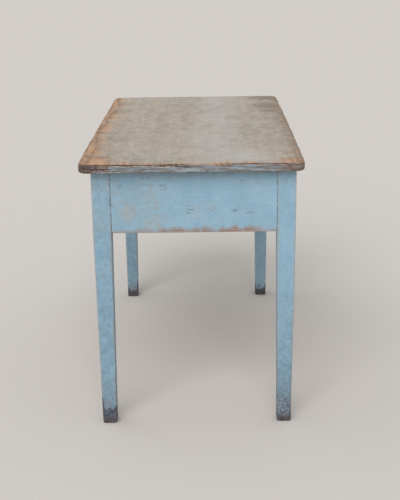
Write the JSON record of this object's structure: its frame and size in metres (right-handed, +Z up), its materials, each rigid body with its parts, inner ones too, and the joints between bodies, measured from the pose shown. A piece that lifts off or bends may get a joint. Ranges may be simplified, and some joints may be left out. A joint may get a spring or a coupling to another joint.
{
  "type": "kitchen table with drawers",
  "caption": "Old painted wooden kitchen table with a scrubbed plank top on square tapered legs, deep plain aprons and wooden drawers that pull out of one long side.",
  "frame": {"origin": "on the floor, under the middle of the top", "axes": "+X along the table, to the right of a person who stands before the drawers; drawers open towards -Y; +Z up"},
  "size_m": [1.2, 0.6, 0.76],
  "materials": {
    "scrubbed_top": "greyed scrubbed pine with worn round edges",
    "blue_paint": "matt light blue paint, worn through on the edges",
    "bare_pine": "planed, unpainted, darkened with age",
    "turned_knob": "matt light blue paint rubbed bare by hands",
    "dark_iron": "dark, lightly rusted"
  },
  "bodies": {
    "table": {"top_plank_front": "scrubbed_top", "top_plank_middle": "scrubbed_top", "top_plank_back": "scrubbed_top", "leg_front_left": "blue_paint", "leg_front_right": "blue_paint", "leg_back_left": "blue_paint", "leg_back_right": "blue_paint", "end_apron_left": "blue_paint", "end_apron_right": "blue_paint", "back_apron": "blue_paint", "front_upper_rail": "blue_paint", "front_lower_rail": "blue_paint", "drawer_divider": "blue_paint", "joint_pegs": "blue_paint", "top_edge_dowels": "bare_pine", "runner_left": "bare_pine", "runner_centre": "bare_pine", "runner_right": "bare_pine", "guide_left": "bare_pine", "guide_centre": "bare_pine", "guide_right": "bare_pine", "kicker_left": "bare_pine", "kicker_centre": "bare_pine", "kicker_right": "bare_pine", "glue_blocks": "bare_pine", "drawer_stops": "bare_pine", "guide_nails": "dark_iron", "kicker_screws": "dark_iron"},
    "left_drawer": {"left_drawer_front": "blue_paint", "left_drawer_knob": "turned_knob", "left_drawer_left_side": "bare_pine", "left_drawer_right_side": "bare_pine", "left_drawer_back": "bare_pine", "left_drawer_bottom": "bare_pine", "left_drawer_knob_wedge": "bare_pine", "left_drawer_bottom_nails": "dark_iron"},
    "right_drawer": {"right_drawer_front": "blue_paint", "right_drawer_knob": "turned_knob", "right_drawer_left_side": "bare_pine", "right_drawer_right_side": "bare_pine", "right_drawer_back": "bare_pine", "right_drawer_bottom": "bare_pine", "right_drawer_knob_wedge": "bare_pine", "right_drawer_bottom_nails": "dark_iron"}
  },
  "joints": [
    {"name": "left_drawer_slide", "type": "slide", "parent": "table", "child": "left_drawer", "axis": [0, -1, 0], "range_m": [0, 0.36]},
    {"name": "right_drawer_slide", "type": "slide", "parent": "table", "child": "right_drawer", "axis": [0, -1, 0], "range_m": [0, 0.36]}
  ]
}
